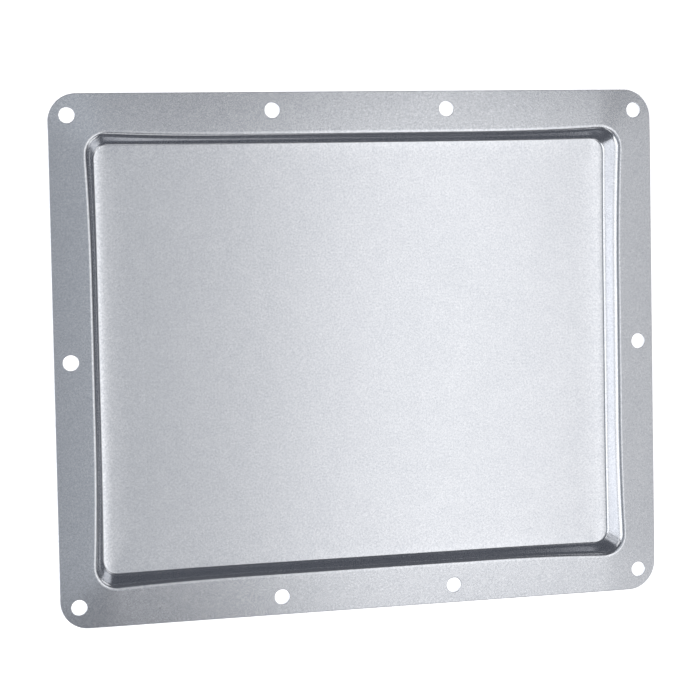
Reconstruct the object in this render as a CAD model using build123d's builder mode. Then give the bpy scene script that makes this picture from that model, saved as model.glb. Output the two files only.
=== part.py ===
from build123d import *
import os
from math import atan, cos, degrees, radians, sin, tan

# Rectangular cover plate, deep-drawn in one piece from sheet steel: a flat flange
# with ten fixing holes round a shallow rectangular pan.
# All sizes are millimetres and all angles degrees.
#
# Frame: the plate lies on the underside of its pan at z = 0. X runs along the long
# side, Y along the short side, and +Z points up out of the recess. The origin is
# under the middle of the plate.

# ---- Sheet -------------------------------------------------------------------
sheet_thickness = 1.2

# ---- Flange ------------------------------------------------------------------
plate_length = 200.0
plate_width = 165.0
plate_corner_radius = 9.0
edge_roll_radius = 0.25  # roll-over that the blanking die leaves round the front edge

# ---- Fixing holes, placed in from the edges of the flange ----------------------
hole_diameter = 4.8
corner_hole_inset_x = 6.0
corner_hole_inset_y = 6.75
long_edge_hole_inset = 5.8
long_edge_hole_spacing = 57.8
short_edge_hole_inset = 5.3

# ---- Recess --------------------------------------------------------------------
recess_depth = 5.7  # front of the flange to the front of the floor
rim_at_ends = 13.55  # short edge of the plate to the recess, before the bends
rim_at_sides = 14.35  # long edge of the plate to the recess, before the bends
wall_draft = 10.0  # lean of the walls, at the middle of each side
mouth_corner_radius = 5.6
floor_corner_radius = 5.1
corner_flare = 1.35  # the mouth's corners stand this far outside the line of its sides
flare_length = 40.0  # stretch of each side, up to its corner, over which it flares
die_radius = 1.0  # bend at the mouth, on the back of the sheet
punch_radius = 1.3  # bend at the floor, on the front of the sheet

# ---- Worked out from the sizes above -------------------------------------------
floor_front = sheet_thickness
flange_front = floor_front + recess_depth
flange_back = flange_front - sheet_thickness
mouth_length = plate_length - 2 * rim_at_ends
mouth_width = plate_width - 2 * rim_at_sides
wall_run = recess_depth * tan(radians(wall_draft))
floor_length = mouth_length - 2 * wall_run
floor_width = mouth_width - 2 * wall_run

# The back skin of the pan is the front skin moved out along the wall's normal and
# down by one sheet thickness, which grows both of its outlines by this much.
back_skin_growth = sheet_thickness * tan(radians(45 - wall_draft / 2))


def flare_run(before, angle):
    """The stretch between the straight part of a side and a corner.

    It is an arc that turns outwards by the angle, or runs straight on where that is 0.
    """
    if angle == 0:
        return Line(before @ 1, before @ 1 + (before % 1) * flare_length)
    return JernArc(before @ 1, before % 1, flare_length / sin(radians(angle)), -angle)


def recess_outline(height, length, width, corner_radius, flare):
    """Straight sides whose ends flare out to the corner arcs, drawn anticlockwise."""
    angle = 2 * degrees(atan(flare / flare_length))
    turn = cos(radians(angle)) + sin(radians(angle))
    straight_x = length + 2 * (flare - flare_length - corner_radius * turn)
    straight_y = width + 2 * (flare - flare_length - corner_radius * turn)
    with BuildSketch(Plane.XY.offset(height)) as outline:
        with BuildLine():
            start = (length / 2, -straight_y / 2)
            for heading, straight in (
                (90, straight_y),
                (180, straight_x),
                (270, straight_y),
                (0, straight_x),
            ):
                middle = PolarLine(start, straight, heading)
                outwards = flare_run(middle, angle)
                corner = JernArc(outwards @ 1, outwards % 1, corner_radius, 90 + 2 * angle)
                start = flare_run(corner, angle) @ 1
        make_face()
    return outline.sketch


def mouth_outline(height, growth):
    """The recess outline at the flange."""
    return recess_outline(
        height,
        mouth_length + 2 * growth,
        mouth_width + 2 * growth,
        mouth_corner_radius + growth,
        corner_flare,
    )


def floor_outline(height, growth):
    """The recess outline at the floor, where the sides are straight."""
    return recess_outline(
        height,
        floor_length + 2 * growth,
        floor_width + 2 * growth,
        floor_corner_radius + growth,
        0,
    )


with BuildPart() as cover_plate:
    # Flange
    with BuildSketch(Plane.XY.offset(flange_back)):
        RectangleRounded(plate_length, plate_width, plate_corner_radius)
    extrude(amount=sheet_thickness)

    # Pan, solid at first
    loft(
        [
            floor_outline(0, back_skin_growth),
            mouth_outline(flange_back, back_skin_growth),
        ],
        ruled=True,
    )

    # Bends on the back of the sheet
    pan_back = cover_plate.faces().filter_by(GeomType.PLANE).sort_by(Axis.Z)[0]
    fillet(pan_back.outer_wire().edges(), punch_radius + sheet_thickness)
    flange_back_face = cover_plate.faces().filter_by(GeomType.PLANE).sort_by(Axis.Z)[1]
    fillet(flange_back_face.inner_wires()[0].edges(), die_radius)

    # Recess
    loft(
        [floor_outline(floor_front, 0), mouth_outline(flange_front, 0)],
        ruled=True,
        mode=Mode.SUBTRACT,
    )

    # Bends on the front of the sheet
    floor_face = cover_plate.faces().filter_by(GeomType.PLANE).filter_by_position(
        Axis.Z, floor_front, floor_front
    )[0]
    fillet(floor_face.outer_wire().edges(), punch_radius)
    flange_front_face = cover_plate.faces().filter_by(GeomType.PLANE).sort_by(Axis.Z)[-1]
    fillet(flange_front_face.inner_wires()[0].edges(), die_radius + sheet_thickness)

    # Roll-over round the blanked edge, on the front
    flange_front_face = cover_plate.faces().filter_by(GeomType.PLANE).sort_by(Axis.Z)[-1]
    fillet(flange_front_face.outer_wire().edges(), edge_roll_radius)

    # Fixing holes: one near each corner, two in each long edge, one in each short edge
    with Locations((0, 0, flange_front)):
        with GridLocations(
            plate_length - 2 * corner_hole_inset_x,
            plate_width - 2 * corner_hole_inset_y,
            2,
            2,
        ):
            Hole(hole_diameter / 2)
        with GridLocations(
            long_edge_hole_spacing, plate_width - 2 * long_edge_hole_inset, 2, 2
        ):
            Hole(hole_diameter / 2)
        with GridLocations(plate_length - 2 * short_edge_hole_inset, 0, 2, 1):
            Hole(hole_diameter / 2)

cover_plate.part.label = "cover_plate"

os.makedirs("parts", exist_ok=True)
export_step(cover_plate.part, "parts/cover_plate.step")
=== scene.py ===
"""Looks of the pressed cover plate: one drawn sheet, modelled finely, in satin zinc.

The CAD node is replaced by a mesh of the same sheet, with its bends, blanked edges and
punched holes finely divided so that their reflections run smoothly. Sizes of the plate
are millimetres in the CAD's frame, and its mesh is written in metres. Sizes in the
studio are metres, apart from the camera's place and lens, which are millimetres.
"""

import math

import bpy
import numpy as np
from mathutils import Euler, Matrix, Vector
from mathutils.geometry import delaunay_2d_cdt

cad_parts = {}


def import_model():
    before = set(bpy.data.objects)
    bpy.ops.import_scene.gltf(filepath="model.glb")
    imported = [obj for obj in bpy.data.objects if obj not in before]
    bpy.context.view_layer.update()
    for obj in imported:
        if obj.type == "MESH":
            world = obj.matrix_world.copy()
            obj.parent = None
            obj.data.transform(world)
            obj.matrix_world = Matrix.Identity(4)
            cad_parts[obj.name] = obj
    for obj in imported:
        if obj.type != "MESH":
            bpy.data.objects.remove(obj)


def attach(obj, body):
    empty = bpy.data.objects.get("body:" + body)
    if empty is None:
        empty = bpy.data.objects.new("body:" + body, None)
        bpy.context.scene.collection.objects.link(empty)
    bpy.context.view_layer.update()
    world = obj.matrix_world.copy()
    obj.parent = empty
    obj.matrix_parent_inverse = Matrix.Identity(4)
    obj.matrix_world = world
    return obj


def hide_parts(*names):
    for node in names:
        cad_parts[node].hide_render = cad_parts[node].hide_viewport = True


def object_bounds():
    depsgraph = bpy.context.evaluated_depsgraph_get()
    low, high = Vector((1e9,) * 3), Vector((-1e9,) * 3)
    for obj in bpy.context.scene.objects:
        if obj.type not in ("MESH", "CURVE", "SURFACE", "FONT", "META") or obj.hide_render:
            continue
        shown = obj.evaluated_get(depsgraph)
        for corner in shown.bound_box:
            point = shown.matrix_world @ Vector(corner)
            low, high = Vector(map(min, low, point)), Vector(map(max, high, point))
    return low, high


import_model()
cad_low, cad_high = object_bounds()

MM = 0.001

# ---- Sizes of the plate ---------------------------------------------------------------
LENGTH = (cad_high.x - cad_low.x) / MM
WIDTH = (cad_high.y - cad_low.y) / MM
TOP = cad_high.z / MM
SHEET = 1.2
PLATE_CORNER = 9.0

RIM_AT_ENDS = 13.55
RIM_AT_SIDES = 14.35
CORNER_FLARE = 1.35
FLARE_LENGTH = 40.0
WALL_DRAFT = 10.0
MOUTH_CORNER = 5.6
FLOOR_CORNER = 5.1
MOUTH_BEND = 2.2
FLOOR_BEND = 1.3

# The drawn sheet has sprung: the flange droops outwards from a low ridge round the
# mouth, and the floor rises a little towards its bends.
RIDGE_RISE = 0.5
RIDGE = TOP + RIDGE_RISE
DEPTH = RIDGE - SHEET
FLANGE_DROOP = math.radians(5.0)
TAIL_TILT = math.radians(6.5)
TAIL_LENGTH = 2.5

HOLE_RADIUS = 2.4
CORNER_HOLE_X = LENGTH / 2 - 6.0
CORNER_HOLE_Y = WIDTH / 2 - 6.75
LONG_EDGE_HOLE_X = 57.8 / 2
LONG_EDGE_HOLE_Y = WIDTH / 2 - 5.8
SHORT_EDGE_HOLE_X = LENGTH / 2 - 5.3
HOLES = (
    [(x, y) for x in (-CORNER_HOLE_X, CORNER_HOLE_X) for y in (-CORNER_HOLE_Y, CORNER_HOLE_Y)]
    + [(x, y) for x in (-LONG_EDGE_HOLE_X, LONG_EDGE_HOLE_X) for y in (-LONG_EDGE_HOLE_Y, LONG_EDGE_HOLE_Y)]
    + [(x, 0.0) for x in (-SHORT_EDGE_HOLE_X, SHORT_EDGE_HOLE_X)]
)
EDGE_ROLL = 0.25
HOLE_ROLL = 0.2
BACK_ROLL = 0.06

# ---- How finely the mesh is divided -----------------------------------------------------
SIDE_PITCH = 2.4
FLANGE_PITCH = 2.6
FLOOR_PITCH = 4.0
PLATE_CORNER_STEPS = 24
FLOOR_CORNER_STEPS = 30
HOLE_STEPS = 48
FLARE_POINTS = 30
MOUTH_CORNER_POINTS = 60
MOUTH_BEND_ROWS = 20
FLOOR_BEND_ROWS = 16
WALL_ROWS = (0.25, 0.5, 0.75)  # shares of the way down the straight part of the wall
TAIL_STEPS = (0.12, 0.3, 0.55, 0.85, 1.25, 1.7, 2.2, 2.8, 3.4)  # in from the floor's bend
FRONT_ROLL_TURNS = (22.5, 45, 67.5, 90)
BACK_ROLL_TURNS = (90, 60, 30, 0)

# The lattice has near-equal triangles. Both of these are shares of its pitch.
ROW_RATIO = 0.866  # from one row to the next
LOOP_CLEARANCE = 0.45  # from a loop to the nearest point

MERGE_DISTANCE = 1e-7
PARALLEL = 1e-12  # a cross product this small counts as parallel
END_SLACK = 1e-6  # share of a side by which a hit may miss its ends

# ---- Finish: sizes of the blotches in millimetres -----------------------------------------
DARK_ZINC = (0.68, 0.70, 0.74, 1)
LIGHT_ZINC = (0.885, 0.895, 0.92, 1)
GRAIN_SIZE = 0.55
CLOUD_SIZE = 4.0
DRIFT_SIZE = 24.0
MATT_GRAIN_SIZE = 0.6
MATT_DRIFT_SIZE = 30.0
BUMP_GRAIN_SIZE = 0.5
BUMP_HEIGHT = 0.01
BUMP_STRENGTH = 0.2
POLISH = 0.05  # roughness that full burnishing takes off
NOISE_RANGE = (0.3, 0.7)  # noise past these ends is clamped
BURNISH_AT = (0, 0.1, 0.4, 0.5, 0.8, 1)  # shares of the section's rows
BURNISH = (0, 1, 1, 0.7, 0.7, 0)

# ---- Studio ------------------------------------------------------------------------------
LENS = 128.26
SENSOR_WIDTH = 36
CLIP_START = 0.01
CAMERA_X = -243.63
CAMERA_Y = 52.30
CAMERA_HEIGHT = 753.17  # above a level RIDGE_RISE below the CAD's top
CAMERA_TURN = (-3.398, -17.664, -1.127)

WHITE = (1.0, 1.0, 1.0)
COOL = (0.90, 0.95, 1.0)
LIGHT_DISTANCE = 1.2
SOFTBOXES = (  # name, azimuth, elevation, size across and up, radiance, colour
    ("key_left", 11, -3, (0.20, 0.80), 0.45, WHITE),
    ("key", 21, -5, (0.22, 0.96), 1.17, WHITE),
    ("key_right", 31, -6, (0.20, 0.80), 0.68, WHITE),
    ("key_far", 41, -5, (0.20, 0.80), 0.5, WHITE),
    ("overhead", 0, -3, (0.22, 0.70), 0.47, COOL),
    ("top_soft", 2, 17, (0.24, 0.20), 0.45, COOL),
    ("near_left", -25, -14, (0.42, 1.20), 0.4, COOL),
    ("left_panel", -45, -14, (0.42, 1.20), 1.5, WHITE),
    ("left_wide", -65, -14, (0.42, 1.20), 1.25, WHITE),
    ("left_edge", -83, 0, (0.30, 1.20), 0.95, WHITE),
    ("right_panel", 72, -25, (0.55, 0.80), 0.1, WHITE),
    ("front_fill", 5, -42, (0.50, 0.40), 0.55, WHITE),
    ("corner_front_right", 60, -31, (0.65, 0.60), 0.8, WHITE),
    ("corner_back_right", 60, 31, (0.65, 0.60), 0.8, WHITE),
    ("corner_back_left", -58, 34, (0.70, 0.60), 0.8, WHITE),
)
ROOM_COLOUR = (0.10, 0.105, 0.12, 1)
FLOOR_HALF = 2.0
FLOOR_GAP = 0.0001  # keeps the floor off the underside of the plate, which is at z = 0
FLOOR_GLOW = 0.8
FLOOR_PAINT = (0.8, 0.8, 0.8, 1)


# ---- Outlines, anticlockwise, with the outward direction at each point --------------
def rounded_rectangle(half_x, half_y, radius, corner_steps):
    """A rectangle with round corners, from the start of the first corner."""
    points, normals = [], []
    cx, cy = half_x - radius, half_y - radius
    for i, (sx, sy) in enumerate([(1, 1), (-1, 1), (-1, -1), (1, -1)]):
        for k in range(corner_steps):
            angle = math.radians(90 * (i + k / corner_steps))
            n = (math.cos(angle), math.sin(angle))
            points.append((sx * cx + radius * n[0], sy * cy + radius * n[1]))
            normals.append(n)
        angle = math.radians(90 * (i + 1))
        n = (round(math.cos(angle)), round(math.sin(angle)))
        start = np.array((sx * cx + radius * n[0], sy * cy + radius * n[1]))
        side = np.array((-n[1], n[0])) * 2 * (cx if i % 2 == 0 else cy)
        steps = round(np.linalg.norm(side) / SIDE_PITCH)
        for k in range(steps):
            points.append(start + side * k / steps)
            normals.append(n)
    return np.array(points), np.array(normals, float)


def circle(x, y, radius):
    """The edge of a hole, with directions away from its middle."""
    angle = np.arange(HOLE_STEPS) * 2 * math.pi / HOLE_STEPS
    out = np.column_stack([np.cos(angle), np.sin(angle)])
    return np.array((x, y)) + radius * out, out


def mouth_outline():
    """The recess outline at the flange: straight sides that flare out to the corner arcs."""
    half_x = LENGTH / 2 - RIM_AT_ENDS
    half_y = WIDTH / 2 - RIM_AT_SIDES
    angle = 2 * math.atan(CORNER_FLARE / FLARE_LENGTH)
    radius = FLARE_LENGTH / math.sin(angle)
    turn = MOUTH_CORNER * (math.cos(angle) + math.sin(angle))
    straight_x = half_x + CORNER_FLARE - FLARE_LENGTH - turn
    straight_y = half_y + CORNER_FLARE - FLARE_LENGTH - turn
    centre_x = straight_x + FLARE_LENGTH + MOUTH_CORNER * math.sin(angle)
    centre_y = straight_y + FLARE_LENGTH + MOUTH_CORNER * math.sin(angle)
    swing = np.linspace(0, angle, FLARE_POINTS)
    along, rise = radius * np.sin(swing), radius * (1 - np.cos(swing))
    corner = np.linspace(-angle, math.pi / 2 + angle, MOUTH_CORNER_POINTS)[1:-1]
    arc_x, arc_y = MOUTH_CORNER * np.cos(corner), MOUTH_CORNER * np.sin(corner)
    quarter = np.vstack(
        [
            np.column_stack([half_x + rise, straight_y + along]),
            np.column_stack([centre_x + arc_x, centre_y + arc_y]),
            np.column_stack([straight_x + along, half_y + rise])[::-1],
        ]
    )
    top = np.vstack([quarter, (quarter * [-1, 1])[::-1]])
    return np.vstack([top, -top])


def distance_out(points, normals, outline):
    """How far the closed outline lies from each point, along its own direction."""
    a = outline
    d = np.roll(outline, -1, 0) - a
    out = []
    for p, n in zip(points, normals):
        cross = n[0] * d[:, 1] - n[1] * d[:, 0]
        cross = np.where(abs(cross) < PARALLEL, PARALLEL, cross)
        r = a - p
        along = (r[:, 0] * d[:, 1] - r[:, 1] * d[:, 0]) / cross
        part = (r[:, 0] * n[1] - r[:, 1] * n[0]) / cross
        hit = (part > -END_SLACK) & (part < 1 + END_SLACK) & (along > 0)
        out.append(along[hit].min())
    return np.array(out)


def nearest(points, outline):
    """Distance and direction from the nearest point of a closed outline."""
    a = outline[None]
    d = np.roll(outline, -1, 0)[None] - a
    r = points[:, None] - a
    t = np.clip((r * d).sum(2) / (d * d).sum(2), 0, 1)
    away = r - t[..., None] * d
    size = np.linalg.norm(away, axis=2)
    best = size.argmin(1)
    rows = np.arange(len(points))
    away, size = away[rows, best], size[rows, best]
    return size, away / np.maximum(size, 1e-9)[:, None]


# ---- The sheet -----------------------------------------------------------------------
def floor_tail(step):
    """Height and tilt of the floor, step millimetres in from the end of its bend."""
    tilt = TAIL_TILT * np.exp(-step / TAIL_LENGTH)
    return SHEET + TAIL_LENGTH * tilt, tilt


def section(run):
    """The front of the sheet from the flange to the floor, at one point of the recess.

    run is how far the wall leans over its depth. Rows of (outward offset, height, tilt),
    where tilt is the downward slope towards the middle of the plate.
    """
    lean = math.hypot(run, DEPTH)
    wall = math.atan2(DEPTH, run)
    rows = []
    height = RIDGE - MOUTH_BEND
    centre = (MOUTH_BEND * lean + (height - SHEET) * run) / DEPTH
    for tilt in np.linspace(-FLANGE_DROOP, wall, MOUTH_BEND_ROWS):
        rows.append((centre - MOUTH_BEND * math.sin(tilt), height + MOUTH_BEND * math.cos(tilt), tilt))
    height = SHEET + TAIL_TILT * TAIL_LENGTH + FLOOR_BEND * math.cos(TAIL_TILT)
    centre = (-FLOOR_BEND * lean + (height - SHEET) * run) / DEPTH
    bend = [
        (centre + FLOOR_BEND * math.sin(tilt), height - FLOOR_BEND * math.cos(tilt), tilt)
        for tilt in np.linspace(wall, TAIL_TILT, FLOOR_BEND_ROWS)
    ]
    start, end = rows[-1], bend[0]
    for share in WALL_ROWS:
        out = start[0] + share * (end[0] - start[0])
        height = start[1] + share * (end[1] - start[1])
        rows.append((out, height, wall))
    rows += bend
    last = rows[-1][0]
    for step in TAIL_STEPS:
        height, tilt = floor_tail(step)
        rows.append((last - step, height, tilt))
    return rows


def burnish_rows(count):
    """How far the dies have polished each row of the section, from 0 to 1."""
    return np.interp(np.linspace(0, 1, count), BURNISH_AT, BURNISH)


def recess_skin():
    """A grid of points and normals round the recess: rows from the flange in to the floor."""
    run = DEPTH * math.tan(math.radians(WALL_DRAFT))
    half_x = LENGTH / 2 - RIM_AT_ENDS - run
    half_y = WIDTH / 2 - RIM_AT_SIDES - run
    points, out = rounded_rectangle(half_x, half_y, FLOOR_CORNER, FLOOR_CORNER_STEPS)
    runs = distance_out(points, out, mouth_outline())
    grid = np.array([section(r) for r in runs]).transpose(1, 0, 2)
    place = np.concatenate([points + grid[..., :1] * out, grid[..., 1:2]], 2)
    around = np.roll(place, -1, 1) - np.roll(place, 1, 1)
    inward = np.concatenate([np.cos(grid[..., 2:]) * -out, -np.sin(grid[..., 2:])], 2)
    normal = np.cross(around, inward)
    return place, normal / np.linalg.norm(normal, axis=2, keepdims=True)


def between(points, loops):
    """Whether each point lies inside an odd number of the loops."""
    x, y = points[:, :1], points[:, 1:]
    crossings = 0
    for a in loops:
        b = np.roll(a, -1, 0)
        spans = (a[:, 1] > y) != (b[:, 1] > y)
        rise = np.where(a[:, 1] == b[:, 1], 1, b[:, 1] - a[:, 1])
        at = a[:, 0] + (y - a[:, 1]) / rise * (b[:, 0] - a[:, 0])
        crossings = crossings + (spans & (x < at)).sum(1)
    return crossings % 2 == 1


def fill(loops, pitch):
    """Triangles between closed loops, with a lattice of points in the clear areas."""
    flat = np.vstack(loops)
    low, high = flat.min(0), flat.max(0)
    rows = np.arange(low[1] + pitch, high[1], pitch * ROW_RATIO)
    lattice = [
        (x + (pitch / 2 if i % 2 else 0), y)
        for i, y in enumerate(rows)
        for x in np.arange(low[0] + pitch, high[0] - pitch / 2, pitch)
    ]
    lattice = np.array(lattice)
    clear = np.min([nearest(lattice, loop)[0] for loop in loops], 0) > pitch * LOOP_CLEARANCE
    lattice = lattice[clear & between(lattice, loops)]
    points = np.vstack([flat, lattice])
    edges, first = [], 0
    for loop in loops:
        n = len(loop)
        edges += [(first + i, first + (i + 1) % n) for i in range(n)]
        first += n
    result = delaunay_2d_cdt([Vector(p) for p in points], edges, [], 0, MERGE_DISTANCE)
    source = [o[0] for o in result[3]]
    faces = np.array([[source[i] for i in face] for face in result[2]])
    return lattice, faces[between(points[faces].mean(1), loops)]


class Skin:
    """Vertices, normals and faces of the mesh as it grows."""

    def __init__(self):
        self.points = []
        self.normals = []
        self.burnish = []
        self.faces = []
        self.count = 0

    def add(self, points, normals, burnish=0.0):
        """Adds the vertices and gives their numbers."""
        self.points.append(np.asarray(points, float))
        self.normals.append(np.asarray(normals, float))
        self.burnish.append(np.full(len(points), burnish))
        first = self.count
        self.count += len(points)
        return np.arange(first, self.count)

    def strip(self, above, below):
        """Quads between two closed rings; the ring above is the outer or upper one."""
        for i in range(len(above)):
            j = (i + 1) % len(above)
            self.faces.append((above[i], above[j], below[j], below[i]))


def build_sheet():
    """The whole plate as one closed mesh: the front, the same moved back, and the cuts."""
    skin = Skin()
    place, normal = recess_skin()
    rings = [skin.add(*row) for row in zip(place, normal, burnish_rows(len(place)))]
    for above, below in zip(rings, rings[1:]):
        skin.strip(above, below)

    # Flange
    edge, edge_out = rounded_rectangle(
        LENGTH / 2 - EDGE_ROLL, WIDTH / 2 - EDGE_ROLL, PLATE_CORNER - EDGE_ROLL, PLATE_CORNER_STEPS
    )
    holes = [circle(x, y, HOLE_RADIUS + HOLE_ROLL) for x, y in HOLES]
    lip = place[0][:, :2]
    loops = [lip, edge] + [h[0] for h in holes]
    lattice, faces = fill(loops, FLANGE_PITCH)

    def lift(points):
        """The points raised to the drooping flange, and their normals."""
        away, direction = nearest(points, lip)
        height = place[0][0, 2] - math.tan(FLANGE_DROOP) * away
        tilt = np.full((len(points), 1), FLANGE_DROOP)
        return (
            np.column_stack([points, height]),
            np.hstack([np.sin(tilt) * direction, np.cos(tilt)]),
        )

    rims = [skin.add(*lift(loop)) for loop in loops[1:]]
    inner = skin.add(*lift(lattice))
    index = np.concatenate([rings[0]] + rims + [inner])
    skin.faces += [tuple(index[f]) for f in faces]

    # Floor
    lattice, faces = fill([place[-1][:, :2]], FLOOR_PITCH)
    away, direction = nearest(lattice, place[-1][:, :2])
    height, tilt = floor_tail(TAIL_STEPS[-1] + away)
    inner = skin.add(
        np.column_stack([lattice, height]),
        np.column_stack([np.sin(tilt)[:, None] * direction, np.cos(tilt)]),
    )
    index = np.concatenate([rings[-1], inner])
    skin.faces += [tuple(index[f]) for f in faces]

    # Back of the sheet
    front_points = np.vstack(skin.points)
    front_normals = np.vstack(skin.normals)
    front_faces = list(skin.faces)
    shift = skin.count
    skin.add(front_points - SHEET * front_normals, -front_normals)
    skin.faces += [tuple(i + shift for i in reversed(f)) for f in front_faces]

    # Blanked edge and punched holes
    def cut(rim, out, roll, hole):
        """The wall of a cut, from its rim on the front round to the rim on the back."""
        top, up = front_points[rim], front_normals[rim]
        out = np.column_stack([out, np.zeros(len(out))])
        out = out - (out * up).sum(1, keepdims=True) * up
        out /= np.linalg.norm(out, axis=1, keepdims=True)
        rings = [rim]
        for turn in np.radians(FRONT_ROLL_TURNS):
            rings.append(
                skin.add(
                    top + out * roll * math.sin(turn) - up * roll * (1 - math.cos(turn)),
                    out * math.sin(turn) + up * math.cos(turn),
                )
            )
        for turn in np.radians(BACK_ROLL_TURNS):
            rings.append(
                skin.add(
                    top
                    + out * (roll - BACK_ROLL * (1 - math.sin(turn)))
                    - up * (SHEET - BACK_ROLL * (1 - math.cos(turn))),
                    out * math.sin(turn) - up * math.cos(turn),
                )
            )
        rings.append(rim + shift)
        for above, below in zip(rings, rings[1:]):
            if hole:
                skin.strip(above, below)
            else:
                skin.strip(below, above)

    cut(rims[0], edge_out, EDGE_ROLL, False)
    for rim, (_, out) in zip(rims[1:], holes):
        cut(rim, -out, HOLE_ROLL, True)

    mesh = bpy.data.meshes.new("pressed_sheet")
    points = np.vstack(skin.points) * MM
    mesh.from_pydata(points.tolist(), [], skin.faces)
    mesh.validate()
    mesh.shade_smooth()
    mesh.normals_split_custom_set_from_vertices(np.vstack(skin.normals).tolist())
    burnish = mesh.attributes.new("burnish", "FLOAT", "POINT")
    burnish.data.foreach_set("value", np.concatenate(skin.burnish).astype(np.float32))
    piece = bpy.data.objects.new("pressed_sheet", mesh)
    bpy.context.scene.collection.objects.link(piece)
    return piece


# ---- Finish --------------------------------------------------------------------------
def zinc():
    """Satin zinc plate: a fine matt grain with faint clouds, polished where the dies ran."""
    material = bpy.data.materials.new("satin_zinc")
    material.use_nodes = True
    nodes, links = material.node_tree.nodes, material.node_tree.links
    shader = nodes["Principled BSDF"]
    shader.inputs["Metallic"].default_value = 1.0
    place = nodes.new("ShaderNodeTexCoord").outputs["Object"]
    burnish = nodes.new("ShaderNodeAttribute")
    burnish.attribute_name = "burnish"

    def noise(size, detail, low, high):
        """Noise with blotches of about the size in millimetres, spread from low to high."""
        texture = nodes.new("ShaderNodeTexNoise")
        texture.inputs["Scale"].default_value = 1 / (size * MM)
        texture.inputs["Detail"].default_value = detail
        links.new(place, texture.inputs["Vector"])
        spread = nodes.new("ShaderNodeMapRange")
        spread.inputs["From Min"].default_value = NOISE_RANGE[0]
        spread.inputs["From Max"].default_value = NOISE_RANGE[1]
        spread.inputs["To Min"].default_value = low
        spread.inputs["To Max"].default_value = high
        links.new(texture.outputs["Fac"], spread.inputs["Value"])
        return spread.outputs["Result"]

    def combine(operation, first, second):
        """A Math node on two sockets, or on a socket and a number."""
        node = nodes.new("ShaderNodeMath")
        node.operation = operation
        for socket, value in zip(node.inputs, (first, second)):
            if isinstance(value, float):
                socket.default_value = value
            else:
                links.new(value, socket)
        return node.outputs["Value"]

    tone = nodes.new("ShaderNodeMix")
    tone.data_type = "RGBA"
    tone.inputs["A"].default_value = DARK_ZINC
    tone.inputs["B"].default_value = LIGHT_ZINC
    mottle = combine("ADD", noise(CLOUD_SIZE, 3.0, 0.0, 0.15), noise(DRIFT_SIZE, 3.0, 0.0, 0.1))
    shade = combine("ADD", noise(GRAIN_SIZE, 2.0, 0.0, 0.75), mottle)
    links.new(shade, tone.inputs["Factor"])
    links.new(tone.outputs["Result"], shader.inputs["Base Color"])

    grain = noise(MATT_GRAIN_SIZE, 2.0, 0.21, 0.26)
    matt = combine("ADD", grain, noise(MATT_DRIFT_SIZE, 2.0, -0.005, 0.005))
    polish = combine("MULTIPLY", burnish.outputs["Fac"], POLISH)
    links.new(combine("SUBTRACT", matt, polish), shader.inputs["Roughness"])

    bump = nodes.new("ShaderNodeBump")
    bump.inputs["Strength"].default_value = BUMP_STRENGTH
    bump.inputs["Distance"].default_value = BUMP_HEIGHT * MM
    links.new(noise(BUMP_GRAIN_SIZE, 2.0, 0.0, 1.0), bump.inputs["Height"])
    links.new(bump.outputs["Normal"], shader.inputs["Normal"])
    return material


sheet = build_sheet()
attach(sheet, "root")
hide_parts("cover_plate")
sheet.data.materials.append(zinc())


# ---- Camera, lights and floor ----------------------------------------------------------
def camera():
    """A long lens over the left of the plate, looking down and to the right."""
    data = bpy.data.cameras.new("camera")
    data.lens = LENS
    data.sensor_width = SENSOR_WIDTH
    data.clip_start = CLIP_START
    eye = bpy.data.objects.new("camera", data)
    eye.location = Vector((CAMERA_X, CAMERA_Y, CAMERA_HEIGHT + TOP - RIDGE_RISE)) * MM
    eye.rotation_euler = Euler([math.radians(a) for a in CAMERA_TURN], "XYZ")
    bpy.context.scene.collection.objects.link(eye)
    bpy.context.scene.camera = eye


def softbox(name, azimuth, elevation, size, radiance, colour):
    """A rectangular light that faces the plate. Azimuth 0 is straight above the plate."""
    a, e = math.radians(azimuth), math.radians(elevation)
    direction = Vector((math.sin(a) * math.cos(e), math.sin(e), math.cos(a) * math.cos(e)))
    across = Vector((math.cos(a), 0, -math.sin(a)))
    data = bpy.data.lights.new(name, "AREA")
    data.shape = "RECTANGLE"
    data.size, data.size_y = size
    data.energy = radiance * math.pi * size[0] * size[1]
    data.color = colour
    light = bpy.data.objects.new(name, data)
    light.location = direction * LIGHT_DISTANCE
    turn = Matrix((across, direction.cross(across), direction)).transposed()
    light.rotation_euler = turn.to_euler()
    bpy.context.scene.collection.objects.link(light)


def seen(nodes, links, rays):
    """One for the named kinds of ray, and zero for all others."""
    path = nodes.new("ShaderNodeLightPath")
    total = path.outputs[rays[0]]
    for ray in rays[1:]:
        add = nodes.new("ShaderNodeMath")
        add.use_clamp = True
        links.new(total, add.inputs[0])
        links.new(path.outputs[ray], add.inputs[1])
        total = add.outputs["Value"]
    return total


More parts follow.
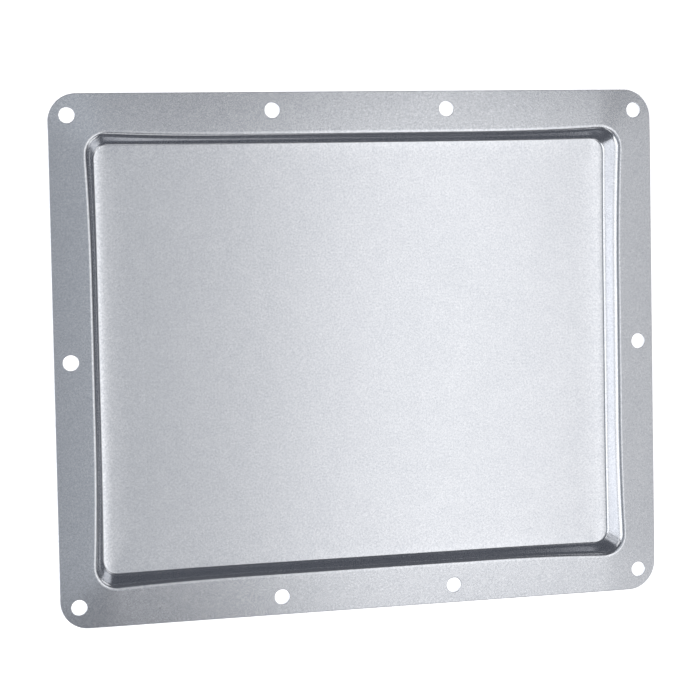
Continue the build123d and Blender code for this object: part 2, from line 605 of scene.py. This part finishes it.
def world():
    """A white backdrop in view, over a dim bluish room that the metal reflects."""
    room = bpy.data.worlds.new("studio")
    bpy.context.scene.world = room
    room.use_nodes = True
    nodes, links = room.node_tree.nodes, room.node_tree.links
    mix = nodes.new("ShaderNodeMix")
    mix.data_type = "RGBA"
    mix.inputs["A"].default_value = ROOM_COLOUR
    mix.inputs["B"].default_value = (1, 1, 1, 1)
    links.new(seen(nodes, links, ("Is Camera Ray", "Is Transmission Ray")), mix.inputs["Factor"])
    links.new(mix.outputs["Result"], nodes["Background"].inputs["Color"])


def floor():
    """A pale floor that renders white in view and in the metal, and keeps a soft shadow."""
    mesh = bpy.data.meshes.new("floor")
    signs = ((-1, -1), (1, -1), (1, 1), (-1, 1))
    corners = [(x * FLOOR_HALF, y * FLOOR_HALF, -FLOOR_GAP) for x, y in signs]
    mesh.from_pydata(corners, [], [(0, 1, 2, 3)])
    plane = bpy.data.objects.new("floor", mesh)
    bpy.context.scene.collection.objects.link(plane)
    material = bpy.data.materials.new("pale_floor")
    material.use_nodes = True
    nodes, links = material.node_tree.nodes, material.node_tree.links
    paint = nodes["Principled BSDF"]
    paint.inputs["Base Color"].default_value = FLOOR_PAINT
    paint.inputs["Roughness"].default_value = 1.0
    paint.inputs["Specular IOR Level"].default_value = 0.0
    paint.inputs["Emission Color"].default_value = (1, 1, 1, 1)
    rays = ("Is Camera Ray", "Is Glossy Ray", "Is Transmission Ray")
    glow = nodes.new("ShaderNodeMath")
    glow.operation = "MULTIPLY"
    glow.inputs[1].default_value = FLOOR_GLOW
    links.new(seen(nodes, links, rays), glow.inputs[0])
    links.new(glow.outputs["Value"], paint.inputs["Emission Strength"])

    # The underside is clear, so that the back of the plate can be seen from below
    clear = nodes.new("ShaderNodeBsdfTransparent")
    side = nodes.new("ShaderNodeNewGeometry")
    both = nodes.new("ShaderNodeMixShader")
    links.new(side.outputs["Backfacing"], both.inputs[0])
    links.new(paint.outputs["BSDF"], both.inputs[1])
    links.new(clear.outputs["BSDF"], both.inputs[2])
    links.new(both.outputs["Shader"], nodes["Material Output"].inputs["Surface"])
    mesh.materials.append(material)


camera()
world()
floor()
for row in SOFTBOXES:
    softbox(*row)
bpy.context.scene.view_settings.view_transform = "Standard"
